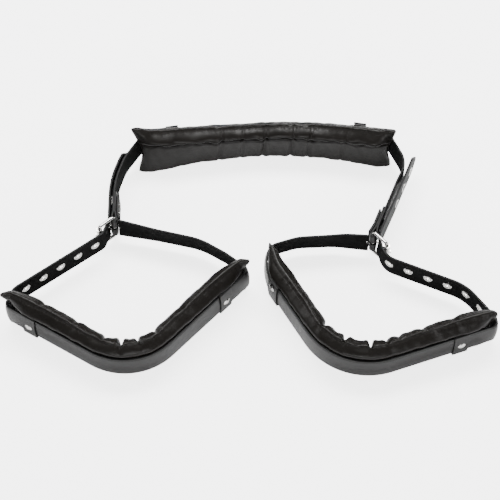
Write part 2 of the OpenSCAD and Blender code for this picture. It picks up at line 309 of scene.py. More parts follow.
@dataclass(frozen=True)
class Route:
    """The plan that a strap or a pad follows: corners of [x, y, bend radius] in millimetres."""

    corners: tuple[Bend, ...]

    def points(self) -> np.ndarray:
        """The route as points in metres, its corners rounded.

        Returns:
            Rows of x and y.
        """
        pts = [np.array(self.corners[0][:2])]
        for a, b, c in zip(self.corners, self.corners[1:], self.corners[2:]):
            pa, pb, pc = (np.array(p[:2], float) for p in (a, b, c))
            u = (pb - pa) / np.linalg.norm(pb - pa)
            v = (pc - pb) / np.linalg.norm(pc - pb)
            turn = math.acos(max(-1.0, min(1.0, float(u @ v))))
            if turn < 0.017:
                pts.append(pb)
                continue
            side = 1.0 if u[0] * v[1] - u[1] * v[0] > 0 else -1.0
            start = pb - u * b[2] * math.tan(turn / 2)
            spoke = -side * np.array([-u[1], u[0]])
            hub = start - spoke * b[2]
            n = max(2, math.ceil(math.degrees(turn) / 2.5))
            for i in range(n + 1):
                t = side * turn * i / n
                arm = np.array([spoke[0] * math.cos(t) - spoke[1] * math.sin(t),
                                spoke[0] * math.sin(t) + spoke[1] * math.cos(t)])
                pts.append(hub + b[2] * arm)
        pts.append(np.array(self.corners[-1][:2]))
        return (np.array(pts, float) + np.array(CENTRE)) * MM


class Track:
    """A route as a fine run of points, with the distance along it."""

    def __init__(self, pts: np.ndarray) -> None:
        """Keeps the points and the distance to each.

        Args:
            pts: rows of x and y in metres.
        """
        keep = np.r_[True, np.linalg.norm(np.diff(pts, axis=0), axis=1) > 1e-6]
        self.pts = pts[keep]
        self.s = np.r_[0.0, np.cumsum(np.linalg.norm(np.diff(self.pts, axis=0), axis=1))]
        self.length = float(self.s[-1])

    def at(self, s: float | np.ndarray) -> np.ndarray:
        """The place at a distance along the track."""
        return np.stack([np.interp(s, self.s, self.pts[:, i]) for i in (0, 1)], axis=-1)

    def heading(self, s: float | np.ndarray) -> np.ndarray:
        """The unit direction of travel at a distance along the track."""
        d = self.at(np.asarray(s) + 0.003) - self.at(np.asarray(s) - 0.003)
        return d / np.linalg.norm(d, axis=-1, keepdims=True)

    def nearest(self, place: Place) -> float:
        """The distance along the track of the point nearest to a place in metres."""
        s = np.linspace(0, self.length, 4000)
        return float(s[np.argmin(np.linalg.norm(self.at(s) - np.array(place), axis=1))])

    def lay(self, obj: bpy.types.Object, height: float, lean: Callable[[float], float]) -> None:
        """Bends a straight piece along the track with a curve modifier.

        Args:
            obj: the piece, straight along X from 0.
            height: the height of the piece's own zero in metres.
            lean: the lean in radians at a distance along the track.
        """
        data = bpy.data.curves.new("guide", "CURVE")
        data.dimensions = "3D"
        data.twist_mode = "Z_UP"
        spline = data.splines.new("POLY")
        spline.points.add(len(self.pts) - 1)
        for point, (x, y), s in zip(spline.points, self.pts, self.s):
            point.co = (x, y, height, 1.0)
            point.tilt = lean(float(s))
        guide = bpy.data.objects.new("guide", data)
        bpy.context.scene.collection.objects.link(guide)
        bpy.context.view_layer.update()
        Bench.apply(obj, "CURVE", object=guide, deform_axis="POS_X")
        bpy.data.objects.remove(guide, do_unlink=True)


def mm(x: float, y: float) -> Place:
    """A plan point of the part's source, in metres of the frame."""
    return ((x + CENTRE[0]) * MM, (y + CENTRE[1]) * MM)


def ease(x: np.ndarray | float) -> np.ndarray | float:
    """A smooth step from 0 to 1."""
    t = np.clip(x, 0, 1)
    return t * t * (3 - 2 * t)


# ---------------------------------------------------------------- finishes


class Socket(Enum):
    """Kinds of socket on a shader group."""

    NUMBER = "NodeSocketFloat"
    VECTOR = "NodeSocketVector"


@dataclass
class Nodes:
    """A node tree with short ways to add and join nodes."""

    tree: bpy.types.NodeTree

    def add(self, kind: str, **values: object) -> bpy.types.Node:
        """Adds a node and sets its properties or its input values.

        Args:
            kind: the node's type.
            values: property names, or input names with spaces as underscores.

        Returns:
            The node.
        """
        node = self.tree.nodes.new(kind)
        for key, value in values.items():
            name = key.replace("_", " ")
            if hasattr(node, key):
                setattr(node, key, value)
            else:
                node.inputs[name].default_value = value
        return node

    def join(self, out: bpy.types.NodeSocket, to: bpy.types.NodeSocket) -> None:
        """Links an output to an input."""
        self.tree.links.new(out, to)

    def maths(self, how: str, a: object, b: object = None) -> bpy.types.NodeSocket:
        """A Math node on two sockets or numbers.

        Args:
            how: the operation.
            a: the first socket or number.
            b: the second, if the operation has one.

        Returns:
            The result's socket.
        """
        node = self.tree.nodes.new("ShaderNodeMath")
        node.operation = how
        for slot, value in zip(node.inputs, (a, b)):
            if isinstance(value, bpy.types.NodeSocket):
                self.join(value, slot)
            elif value is not None:
                slot.default_value = value
        return node.outputs[0]


class Effects:
    """The shader groups that the finishes share, each built once."""

    @staticmethod
    def group(name: str, ins: dict[str, tuple[Socket, object]],
              outs: list[str]) -> tuple[Nodes, bpy.types.Node, bpy.types.Node]:
        """Starts a group with named sockets.

        Args:
            name: the group's name.
            ins: each input's kind and value.
            outs: the names of its number outputs.

        Returns:
            The nodes, the group's input node and its output node.
        """
        tree = bpy.data.node_groups.new(name, "ShaderNodeTree")
        for key, (kind, value) in ins.items():
            sock = tree.interface.new_socket(name=key, in_out="INPUT", socket_type=kind.value)
            if value is not None:
                sock.default_value = value
        for key in outs:
            tree.interface.new_socket(name=key, in_out="OUTPUT", socket_type=Socket.NUMBER.value)
        nodes = Nodes(tree)
        return nodes, nodes.add("NodeGroupInput"), nodes.add("NodeGroupOutput")

    @staticmethod
    def grain() -> bpy.types.NodeTree:
        """Pebbled leather grain over soft creases, as a height, and a mask of worn patches.

        Returns:
            The group.
        """
        nodes, gi, go = Effects.group(
            "leather grain",
            {"Vector": (Socket.VECTOR, None), "Pebble Scale": (Socket.NUMBER, 900.0),
             "Crease Scale": (Socket.NUMBER, 60.0), "Crease Depth": (Socket.NUMBER, 0.5)},
            ["Height", "Wear"])
        pebble = nodes.add("ShaderNodeTexVoronoi", feature="F1", Randomness=0.9)
        nodes.join(gi.outputs["Vector"], pebble.inputs["Vector"])
        nodes.join(gi.outputs["Pebble Scale"], pebble.inputs["Scale"])
        crease = nodes.add("ShaderNodeTexNoise", Detail=5.0, Roughness=0.55, Distortion=0.6)
        nodes.join(gi.outputs["Vector"], crease.inputs["Vector"])
        nodes.join(gi.outputs["Crease Scale"], crease.inputs["Scale"])
        fold = nodes.maths("ABSOLUTE", nodes.maths("SUBTRACT", crease.outputs["Fac"], 0.5))
        deep = nodes.maths("MULTIPLY", nodes.maths("SQRT", fold), gi.outputs["Crease Depth"])
        nodes.join(nodes.maths("ADD", nodes.maths("MULTIPLY", pebble.outputs["Distance"], 0.35), deep),
                   go.inputs["Height"])
        nodes.join(crease.outputs["Fac"], go.inputs["Wear"])
        return nodes.tree

    @staticmethod
    def stitch() -> bpy.types.NodeTree:
        """A line of stitches along a piece's length, as masks of its thread and its groove.

        Returns:
            The group.
        """
        nodes, gi, go = Effects.group(
            "stitch line",
            {"UV": (Socket.VECTOR, None), "Line": (Socket.NUMBER, 0.0145),
             "Pitch": (Socket.NUMBER, 0.004), "Width": (Socket.NUMBER, 0.0006)},
            ["Thread", "Groove"])
        part = nodes.add("ShaderNodeSeparateXYZ")
        nodes.join(gi.outputs["UV"], part.inputs[0])
        off = nodes.maths("ABSOLUTE", nodes.maths(
            "SUBTRACT", nodes.maths("ABSOLUTE", part.outputs["Y"]), gi.outputs["Line"]))
        near = nodes.maths("LESS_THAN", off, gi.outputs["Width"])
        beat = nodes.maths("FRACT", nodes.maths("DIVIDE", part.outputs["X"], gi.outputs["Pitch"]))
        dash = nodes.maths("LESS_THAN", beat, 0.72)
        wide = nodes.maths("LESS_THAN", off, nodes.maths("MULTIPLY", gi.outputs["Width"], 2.2))
        nodes.join(nodes.maths("MULTIPLY", near, dash), go.inputs["Thread"])
        nodes.join(wide, go.inputs["Groove"])
        return nodes.tree


def blank_material(name: str) -> tuple[bpy.types.Material, Nodes, bpy.types.Node]:
    """A new material with its plain shader.

    Args:
        name: the material's name.

    Returns:
        The material, its nodes and its shader.
    """
    mat = bpy.data.materials.new(name)
    mat.use_nodes = True
    return mat, Nodes(mat.node_tree), mat.node_tree.nodes["Principled BSDF"]


@dataclass(frozen=True)
class Leather:
    """Black synthetic leather: its shade, shine and grain."""

    name: str
    shade: tuple[float, float, float] = (0.012, 0.012, 0.013)
    rough: float = 0.36
    shine: float = 0.5
    coat: float = 0.0
    coat_rough: float = 0.2
    pebble: float = 900.0
    crease: float = 60.0
    depth: float = 0.5
    bump: float = 0.3
    stitch_at: float = 0.0

    def make(self, groups: dict[str, bpy.types.NodeTree]) -> bpy.types.Material:
        """Builds the material.

        Args:
            groups: the shared effects by name.

        Returns:
            The material.
        """
        mat, nodes, skin = blank_material(self.name)
        skin.inputs["Specular IOR Level"].default_value = self.shine
        skin.inputs["Coat Weight"].default_value = self.coat
        skin.inputs["Coat Roughness"].default_value = self.coat_rough
        place = nodes.add("ShaderNodeTexCoord")
        grain = nodes.add("ShaderNodeGroup", node_tree=groups["grain"])
        grain.inputs["Pebble Scale"].default_value = self.pebble
        grain.inputs["Crease Scale"].default_value = self.crease
        grain.inputs["Crease Depth"].default_value = self.depth
        nodes.join(place.outputs["Object"], grain.inputs["Vector"])
        height = grain.outputs["Height"]
        tone = nodes.add("ShaderNodeMix", data_type="RGBA")
        tone.inputs[6].default_value = (*self.shade, 1)
        tone.inputs[7].default_value = (*(c * 2.2 for c in self.shade), 1)
        nodes.join(nodes.maths("MULTIPLY", grain.outputs["Wear"], 0.5), tone.inputs[0])
        rough = nodes.maths("ADD", nodes.maths("MULTIPLY", grain.outputs["Wear"], 0.16), self.rough - 0.08)
        if self.stitch_at:
            chart = nodes.add("ShaderNodeUVMap", uv_map="chart")
            line = nodes.add("ShaderNodeGroup", node_tree=groups["stitch"])
            line.inputs["Line"].default_value = self.stitch_at
            nodes.join(chart.outputs["UV"], line.inputs["UV"])
            sunk = nodes.maths("MULTIPLY", line.outputs["Groove"], -0.8)
            height = nodes.maths("ADD", height, nodes.maths(
                "ADD", sunk, nodes.maths("MULTIPLY", line.outputs["Thread"], 1.3)))
            rough = nodes.maths("ADD", rough, nodes.maths("MULTIPLY", line.outputs["Thread"], 0.3))
        nodes.join(tone.outputs[2], skin.inputs["Base Color"])
        nodes.join(rough, skin.inputs["Roughness"])
        bump = nodes.add("ShaderNodeBump", Strength=self.bump, Distance=0.0006)
        nodes.join(height, bump.inputs["Height"])
        nodes.join(bump.outputs["Normal"], skin.inputs["Normal"])
        return mat


@dataclass(frozen=True)
class Plate:
    """Bright nickel plate with faint handling marks."""

    name: str
    shade: tuple[float, float, float] = (0.78, 0.77, 0.75)
    rough: float = 0.16

    def make(self, groups: dict[str, bpy.types.NodeTree]) -> bpy.types.Material:
        """Builds the material.

        Args:
            groups: the shared effects by name.

        Returns:
            The material.
        """
        mat, nodes, skin = blank_material(self.name)
        skin.inputs["Metallic"].default_value = 1.0
        place = nodes.add("ShaderNodeTexCoord")
        marks = nodes.add("ShaderNodeGroup", node_tree=groups["grain"])
        marks.inputs["Pebble Scale"].default_value = 1500.0
        marks.inputs["Crease Scale"].default_value = 320.0
        nodes.join(place.outputs["Object"], marks.inputs["Vector"])
        tone = nodes.add("ShaderNodeMix", data_type="RGBA")
        tone.inputs[6].default_value = (*(c * 0.72 for c in self.shade), 1)
        tone.inputs[7].default_value = (*self.shade, 1)
        nodes.join(nodes.maths("MULTIPLY", marks.outputs["Wear"], 1.4), tone.inputs[0])
        nodes.join(tone.outputs[2], skin.inputs["Base Color"])
        nodes.join(nodes.maths("ADD", nodes.maths("MULTIPLY", marks.outputs["Wear"], 0.2), self.rough - 0.08),
                   skin.inputs["Roughness"])
        bump = nodes.add("ShaderNodeBump", Strength=0.08, Distance=0.0002)
        nodes.join(marks.outputs["Height"], bump.inputs["Height"])
        nodes.join(bump.outputs["Normal"], skin.inputs["Normal"])
        return mat


@dataclass
class Wardrobe:
    """Every material of the sling, made once."""

    groups: dict[str, bpy.types.NodeTree] = field(default_factory=dict)
    cloth: dict[str, bpy.types.Material] = field(default_factory=dict)

    def fill(self) -> None:
        """Builds the shared effects and then the finishes."""
        self.groups = {"grain": Effects.grain(), "stitch": Effects.stitch()}
        finishes = (
            Leather("pad_leather", shade=(0.0052, 0.0044, 0.0037), rough=0.36, shine=0.22,
                    pebble=1100, crease=38, depth=1.1, bump=0.45, stitch_at=SEAM_LINE),
            Leather("strap_gloss", shade=(0.004, 0.0038, 0.0036), rough=0.3, shine=0.25,
                    coat=0.12, coat_rough=0.22, pebble=1500, crease=25, depth=0.25, bump=0.16,
                    stitch_at=STITCH_LINE),
            Leather("strap_suede", shade=(0.0022, 0.0022, 0.0022), rough=0.9, shine=0.12,
                    pebble=2600, crease=140, depth=0.5, bump=0.5, stitch_at=STITCH_LINE),
            Leather("strap_edge", shade=(0.005, 0.005, 0.005), rough=0.5, shine=0.2,
                    pebble=1800, crease=90, depth=0.3, bump=0.3),
            Leather("tab_leather", shade=(0.0045, 0.0043, 0.004), rough=0.34, shine=0.25,
                    coat=0.1, coat_rough=0.3, pebble=1300, crease=60, depth=0.4, bump=0.3),
            Plate("nickel"),
            Plate("nickel_roller", shade=(0.84, 0.83, 0.81), rough=0.12),
        )
        for finish in finishes:
            self.cloth[finish.name] = finish.make(self.groups)

    def wear(self, obj: bpy.types.Object, *names: str) -> None:
        """Gives an object these materials in place of its own.

        Args:
            obj: the piece.
            names: the finishes, in the order of the piece's material slots.
        """
        if len(obj.material_slots) == len(names):
            for slot, name in zip(obj.material_slots, names):
                slot.material = self.cloth[name]
            return
        obj.data.materials.clear()
        for name in names:
            obj.data.materials.append(self.cloth[name])


# ---------------------------------------------------------------- straps


@dataclass
class Strap:
    """A strap of layered leather, glossy outside and suede inside, standing on edge."""

    name: str
    body: str
    route: Route
    outside: Side
    replaces: str
    eyelets: int = 0
    first: float = 33 * MM
    pointed: bool = False
    bow: float = BOW
    outer: str = "strap_gloss"
    lean: Callable[[float], float] = field(default=lambda s: 0.0)
    slots: tuple[tuple[Place, Place, int], ...] = ()

    def make(self, wardrobe: Wardrobe) -> bpy.types.Object:
        """Cuts the strap, punches it, bends it along its route and dresses it.

        Args:
            wardrobe: the materials.

        Returns:
            The finished strap.
        """
        track = Track(self.route.points())
        obj = self._blank(track.length)
        self._punch(obj, track.length)
        Bench.chart(obj)
        self._faces(obj, wardrobe)
        track.lay(obj, STRAP_Z, self.lean)
        for heel, aim, out in self.slots:
            self._prong_slot(obj, heel, aim, out)
        Bench.smooth(obj)
        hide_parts(self.replaces)
        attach(obj, self.body)
        return obj

    def _blank(self, length: float) -> bpy.types.Object:
        """A straight strap with softened edges, a bowed section and rows to bend by.

        Args:
            length: its length in metres.

        Returns:
            The blank.
        """
        half, w = STRAP_T / 2, STRAP_W / 2
        obj = Bench.bar(self.name, Vector((0, -half, -w)), Vector((length, half, w)))
        Bench.pick_edges(obj, lambda run: abs(run.x) > length / 2)
        bpy.ops.mesh.bevel(offset=0.0007, segments=2, affect="EDGES")
        bpy.ops.object.mode_set(mode="OBJECT")
        Bench.slice(obj, 2, [w * k for k in (-0.75, -0.5, -0.25, 0, 0.25, 0.5, 0.75)])
        rounds = math.ceil(length / (1.6 * MM))
        first = max(1, min(30, round(math.sqrt(rounds))))
        for cuts in (first, max(1, rounds // first)):
            Bench.pick_edges(obj, lambda run: abs(run.x) > 1e-5 and abs(run.y) + abs(run.z) < 1e-6)
            bpy.ops.mesh.subdivide(number_cuts=cuts)
            bpy.ops.object.mode_set(mode="OBJECT")
        for z in sorted({round(float(v), 5) for v in Bench.places(obj)[:, 2]}):
            drop = -self.outside.value * self.bow * (z / w) ** 2
            if abs(drop) > 1e-6:
                Bench.shift(obj, lambda co, z=z: abs(co[:, 2] - z) < 1e-5, Vector((0, drop, 0)))
        return obj

    def _punch(self, obj: bpy.types.Object, length: float) -> None:
        """Punches the eyelet holes and points the tip.

        Args:
            obj: the blank.
            length: its length in metres.
        """
        Bench.cut(obj, [Bench.punch(length - self.first - i * EYELET_PITCH, 0, EYELET_HOLE_R)
                        for i in range(self.eyelets)])
        if self.pointed:
            c, s = math.cos(math.radians(40)), math.sin(math.radians(40))
            for up in (1, -1):
                Bench.trim(obj, Vector((length + 0.5 * MM, 0, 1.5 * MM * up)), Vector((c, 0, s * up)))

    def _faces(self, obj: bpy.types.Object, wardrobe: Wardrobe) -> None:
        """Gloss on the outside, suede on the inside and paint on the edges.

        Args:
            obj: the straight strap.
            wardrobe: the materials.
        """
        wardrobe.wear(obj, self.outer, "strap_suede", "strap_edge")
        for f in obj.data.polygons:
            turn = f.normal.y * self.outside.value
            f.material_index = 0 if turn > 0.8 else 1 if turn < -0.8 else 2

    def _prong_slot(self, obj: bpy.types.Object, heel: Place, aim: Place, out: int) -> None:
        """Cuts the slot that lets a buckle's prong through.

        Args:
            obj: the bent strap.
            heel: the heel bar's place.
            aim: the way the buckle points.
            out: the side that the prong is on.
        """
        n = Vector((aim[0], aim[1])).normalized()
        radius, tall = 8.5 * MM, 5 * MM
        for ahead, aside in ((0.0, 0.0), (10 * MM, 2 * MM * out)):
            Bench.clear()
            bpy.ops.mesh.primitive_cylinder_add(
                vertices=40, radius=radius, depth=tall,
                location=(heel[0] + n.x * ahead - n.y * aside, heel[1] + n.y * ahead + n.x * aside, STRAP_Z))
            Bench.cut(obj, [bpy.context.object])


@dataclass
class Tab:
    """A leather tab over a strap, its top and bottom edges drawn in to the pad."""

    name: str
    body: str
    track: Track
    at: float
    width: float
    outside: Side
    replaces: str = ""
    reach: float = 7 * MM
    half: float = 18.6 * MM

    def make(self, wardrobe: Wardrobe) -> bpy.types.Object:
        """Folds the tab over its strap and draws its top and bottom edges in to the pad.

        Args:
            wardrobe: the materials.

        Returns:
            The finished tab.
        """
        way = self.outside.value
        y0 = way * (STRAP_T / 2 + 0.1 * MM)
        y1 = y0 + way * TAB_T
        low = Vector((self.at - self.width / 2, min(y0, y1), -self.half))
        high = Vector((self.at + self.width / 2, max(y0, y1), self.half))
        obj = Bench.bar(self.name, low, high)
        for up in (1, -1):
            for run, rise in ((1.6 * MM, 2.2), (self.reach * 0.55, 1.6), (self.reach * 0.45, 0.6)):
                self._pull(obj, up, Vector((0, -way * run, up * rise * MM)))
        Bench.slice(obj, 0, [self.at + self.width * k for k in (-0.45, -0.25, 0, 0.25, 0.45)])
        Bench.slice(obj, 2, [k * MM for k in (-12, -6, 0, 6, 12)])
        for z in (-self.half / MM, -12, 12, self.half / MM):
            drop = -way * BOW * min(1.0, (z / 18) ** 2)
            Bench.shift(obj, lambda co, z=z: abs(co[:, 2] - z * MM) < 1e-5, Vector((0, drop, 0)))
        Bench.apply(obj, "BEVEL", width=0.6 * MM, segments=2, limit_method="ANGLE",
                    angle_limit=math.radians(50))
        Bench.chart(obj)
        wardrobe.wear(obj, "tab_leather")
        self.track.lay(obj, STRAP_Z, lambda s: 0.0)
        Bench.smooth(obj, 45)
        if self.replaces:
            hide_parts(self.replaces)
        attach(obj, self.body)
        return obj

    def _pull(self, obj: bpy.types.Object, up: int, by: Vector) -> None:
        """Draws the tab's top or bottom edge out by extruding it.

        Args:
            obj: the tab.
            up: +1 for its top and -1 for its bottom.
            by: how far the edge is drawn.
        """
        Bench.take(obj)
        mesh = obj.data
        edge = max(mesh.polygons, key=lambda f: f.center.z * up + f.normal.z * up * 0.05)
        for part in (mesh.vertices, mesh.edges, mesh.polygons):
            part.foreach_set("select", np.zeros(len(part), bool))
        edge.select = True
        bpy.ops.object.mode_set(mode="EDIT")
        bpy.ops.mesh.select_mode(type="FACE")
        bpy.ops.mesh.extrude_region_move(TRANSFORM_OT_translate={"value": by})
        bpy.ops.object.mode_set(mode="OBJECT")


# ---------------------------------------------------------------- pads


@dataclass(frozen=True)
class Crease:
    """A tuck across a pad's inner side, where the bend gathers the leather."""

    at: float
    depth: float
    width: float
    slant: float


@dataclass
class Pad:
    """A pad of two leather panels sewn at the rim and stuffed, with an ear at each corner."""

    name: str
    body: str
    track: Track
    nodes: tuple[str, ...]
    outside: Side
    creases: tuple[Crease, ...] = ()
    stuffing: float = 0.75
    thick: float = PAD_T
    clear: Callable[[np.ndarray], np.ndarray] = field(default=lambda s: np.full_like(s, 13 * MM))
    shoulder: float = 1.8 * MM
    lean: Callable[[float], float] = field(default=lambda s: 0.0)
    ears: tuple[float, float] = (3 * MM, 3 * MM)
    hollow: float = 3.5 * MM
    peak: float = 3 * MM
    rolled: bool = False

    def make(self, wardrobe: Wardrobe) -> bpy.types.Object:
        """Sews, stuffs, creases, bends and dresses the pad.

        Args:
            wardrobe: the materials.

        Returns:
            The finished pad.
        """
        obj = self._panels()
        Bench.chart(obj)
        self._stuff(obj)
        Bench.apply(obj, "SUBSURF", levels=1, render_levels=1)
        self._size(obj)
        Bench.apply(obj, "SUBSURF", levels=1, render_levels=1)
        self._seam(obj)
        self._gather(obj)
        if self.rolled:
            self._roll(obj)
        self._fit(obj)
        wardrobe.wear(obj, "pad_leather")
        self.track.lay(obj, PAD_H / 2, self.lean)
        Bench.smooth(obj, 60)
        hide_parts(*self.nodes)
        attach(obj, self.body)
        return obj

    def _panels(self) -> bpy.types.Object:
        """Two flat panels, sewn together round their rim.

        Returns:
            The flat pad.
        """
        length, thin, top = self.track.length, 1.0 * MM, PANEL_H / 2
        obj = Bench.bar(self.name, Vector((0, -thin, -top)), Vector((length, thin, top)))
        Bench.slice(obj, 2, np.linspace(-top, top, 17)[1:-1])
        Bench.slice(obj, 0, np.linspace(0, length, round(length / (5 * MM)) + 1)[1:-1])
        return obj

    def _stuff(self, obj: bpy.types.Object) -> None:
        """Blows the pad up with a cloth simulation and keeps the result.

        Args:
            obj: the flat pad.
        """
        Bench.take(obj)
        start = Bench.places(obj)
        cloth = obj.modifiers.new("Stuffing", "CLOTH")
        held = cloth.settings
        held.quality = 6
        held.mass = 0.3
        held.air_damping = 5.0
        held.tension_stiffness = 30.0
        held.compression_stiffness = 30.0
        held.shear_stiffness = 8.0
        held.bending_stiffness = 0.6
        held.use_pressure = True
        held.uniform_pressure_force = 4.0
        held.effector_weights.gravity = 0.0
        cloth.collision_settings.use_collision = False
        scene = bpy.context.scene
        for step in range(1, STUFFING_STEPS + 1):
            scene.frame_set(step)
        Bench.take(obj)
        bpy.ops.object.modifier_apply(modifier=cloth.name)
        scene.frame_set(1)
        swollen = Bench.places(obj)
        move = swollen - start
        far = np.linalg.norm(move, axis=1, keepdims=True)
        Bench.put(obj, start + move * np.minimum(1.0, STUFFING_REACH / np.maximum(far, 1e-9)))

    def _size(self, obj: bpy.types.Object) -> None:
        """Brings the swollen pad to its real height, thickness and length.

        Args:
            obj: the swollen pad.
        """
        co = Bench.places(obj)
        mid = (co[:, 0] > self.track.length * 0.3) & (co[:, 0] < self.track.length * 0.7)
        tall = co[mid, 2].max() - co[mid, 2].min()
        thick = co[mid, 1].max() - co[mid, 1].min()
        log.info("%s swelled to %.1f x %.1f mm", self.name, tall / MM, thick / MM)
        co[:, 2] *= PAD_H / tall
        co[:, 1] *= self.thick / thick
        low, high = co[:, 0].min(), co[:, 0].max()
        co[:, 0] = (co[:, 0] - low) / (high - low) * self.track.length
        self._even(co)
        self._draw_ears(co)
        co[:, 2] = np.clip(co[:, 2], -PAD_H / 2 + 0.2 * MM, PAD_H / 2 + 9 * MM)
        Bench.put(obj, co)

    def _even(self, co: np.ndarray) -> None:
        """Gives every slice along the pad its share of the full thickness, down to thin sewn ends.

        Args:
            co: the vertices' places, which it changes.
        """
        half = 40
        thin, least = 1.2 * MM, 0.5 * MM
        u = 2 * co[:, 0] / self.track.length - 1
        part = np.clip(((u + 1) * half).astype(int), 0, 2 * half - 1)
        now = np.array([np.abs(co[part == k, 1]).max() if (part == k).any() else 0.0
                        for k in range(2 * half)])
        centre = (np.arange(2 * half) + 0.5) / half - 1
        want = thin + (self.thick / 2 - thin) * np.sqrt(np.clip(1 - np.abs(centre) ** 12, 0, 1))
        grow = np.clip(want / np.maximum(now, least), 0.9, 2.4)
        grow = np.convolve(np.pad(grow, 2, mode="edge"), np.ones(5) / 5, mode="valid")
        co[:, 1] *= np.interp(u, centre, grow)

    def _draw_ears(self, co: np.ndarray) -> None:
        """Draws the corners out into ears and the sewn ends in between them.

        Args:
            co: the vertices' places, which it changes.
        """
        length, hollow_half, ear_from, ear_run, low_share = 22 * MM, 21 * MM, 15 * MM, 17 * MM, 0.35
        high = np.clip((np.abs(co[:, 2]) - ear_from) / ear_run, 0, 1) ** 1.6
        top = co[:, 2] > 0
        share = np.where(top, 1.0, low_share)
        for far, ear, way in ((co[:, 0], self.ears[0], -1), (self.track.length - co[:, 0], self.ears[1], 1)):
            fade = np.clip(1 - far / length, 0, 1) ** 1.5
            hollow = np.clip(1 - (co[:, 2] / hollow_half) ** 2, 0, 1)
            co[:, 0] += way * fade * (ear * high * share - self.hollow * hollow)
            co[:, 2] += np.where(top, self.peak, 0.0) * fade * high

    def _seam(self, obj: bpy.types.Object) -> None:
        """Draws the leather in beside the rim seam, in small puckers.

        Args:
            obj: the sized pad.
        """
        co = Bench.places(obj)
        chart = self._chart(obj)
        width, depth = 2.4 * MM, 1.5 * MM
        near = np.exp(-((np.abs(chart[:, 1]) - SEAM_LINE) / width) ** 2)
        x = chart[:, 0] / MM
        pucker = 0.6 + 0.25 * np.sin(x * 0.61 + 1.3 * np.sin(x * 0.13)) + 0.15 * np.sin(x * 1.37)
        co[:, 1] -= np.sign(co[:, 1]) * np.minimum(np.abs(co[:, 1]) * 0.8, near * pucker * depth)
        Bench.put(obj, co)

    @staticmethod
    def _chart(obj: bpy.types.Object) -> np.ndarray:
        """Each vertex's place on the flat panel, from the UV map.

        Args:
            obj: the pad.

        Returns:
            Rows of length and height in metres.
        """
        mesh = obj.data
        uv = np.empty(len(mesh.loops) * 2)
        mesh.uv_layers["chart"].data.foreach_get("uv", uv)
        index = np.empty(len(mesh.loops), dtype=np.int32)
        mesh.loops.foreach_get("vertex_index", index)
        flat = np.zeros((len(mesh.vertices), 2))
        flat[index] = uv.reshape(-1, 2)
        return flat

    def _gather(self, obj: bpy.types.Object) -> None:
        """Tucks the inner side at the creases and lays soft wrinkles between them.

        Args:
            obj: the sized pad.
        """
        co = Bench.places(obj)
        inner = ease(-co[:, 1] * self.outside.value / (5 * MM) + 0.4)
        x, z = co[:, 0].copy(), co[:, 2].copy()
        for c in self.creases:
            d = x - c.at - c.slant * z
            swell = np.exp(-((np.abs(d) - 2.6 * c.width) / (1.7 * c.width)) ** 2)
            tuck = np.exp(-(d / c.width) ** 2) - 0.22 * swell
            co[:, 1] += self.outside.value * inner * tuck * c.depth
            high = ease((z - 14 * MM) / (14 * MM))
            co[:, 2] -= high * np.clip(tuck, 0, 1) * c.depth * 0.35 * (0.4 + 0.6 * inner)
        x, z = x / MM, z / MM
        wrinkle = 0.28 * MM
        ripple = (np.sin(x * 0.21 + 0.9 * np.sin(x * 0.047 + z * 0.05))
                  + 0.6 * np.sin(x * 0.43 + z * 0.16) + 0.5 * np.sin(x * 0.087 - z * 0.11 + 2.0))
        co[:, 1] += np.sign(co[:, 1]) * ripple * wrinkle * np.clip(np.abs(co[:, 1]) / (6 * MM), 0, 1)
        Bench.put(obj, co)

    def _roll(self, obj: bpy.types.Object) -> None:
        """Makes the full roll along the top of the wearer's side, scalloped where it meets the panel.

        Args:
            obj: the creased pad.
        """
        co = Bench.places(obj)
        x, z = co[:, 0] / MM, co[:, 2] / MM
        fade, tuck, foot, crown, full, deep = 18, 27.0, 15.5, 34.0, 4.0, 3.2
        inner = ease(-co[:, 1] * self.outside.value / (4 * MM))
        ends = ease(x / fade) * ease((self.track.length / MM - x) / fade)
        scallop = np.abs(np.sin(x / tuck * math.pi / 2 + 0.7 * np.sin(x / 61.0)))
        line = foot + 2.4 * scallop + 0.7 * np.sin(x * 0.31)
        groove = np.exp(-((z - line) / 2.0) ** 2)
        roll = ease((z - line) / 6.0) * ease((crown - z) / 9.0)
        push = (roll * (full + 1.2 * scallop + 0.5 * np.sin(x * 0.19 + 1.0)) - groove * deep) * MM
        co[:, 1] -= self.outside.value * inner * ends * push
        Bench.put(obj, co)

    def _fit(self, obj: bpy.types.Object) -> None:
        """Beds the strap into the pad's outer side, with a soft shoulder above it.

        Args:
            obj: the creased pad.
        """
        co = Bench.places(obj)
        out = co[:, 1] * self.outside.value
        z = co[:, 2] + PAD_H / 2 - STRAP_Z
        edge, end = STRAP_W / 2, 25 * MM
        limit = self.clear(co[:, 0]) - BOW * (np.clip(np.abs(z), 0, edge) / edge) ** 2
        band = 1 - ease((np.abs(z) - 18.5 * MM) / (2.5 * MM))
        above = np.exp(-((z - 24.5 * MM) / (4.0 * MM)) ** 2)
        inside = ease(co[:, 0] / end) * ease((self.track.length - co[:, 0]) / end)
        out = out + self.shoulder * above * ease(out / (5 * MM)) * inside
        held = np.where(out > limit, out + (limit - out) * band, out)
        co[:, 1] = held * self.outside.value
        Bench.put(obj, co)


# ---------------------------------------------------------------- the sling


LEFT_HEEL, LEFT_AIM, LEFT_UP = (-168, 17), (-0.76, -0.65), (0.0, 1.0)
RIGHT_HEEL, RIGHT_AIM, RIGHT_UP = (152, -5), (0.69, -0.724), (0.36, 0.933)

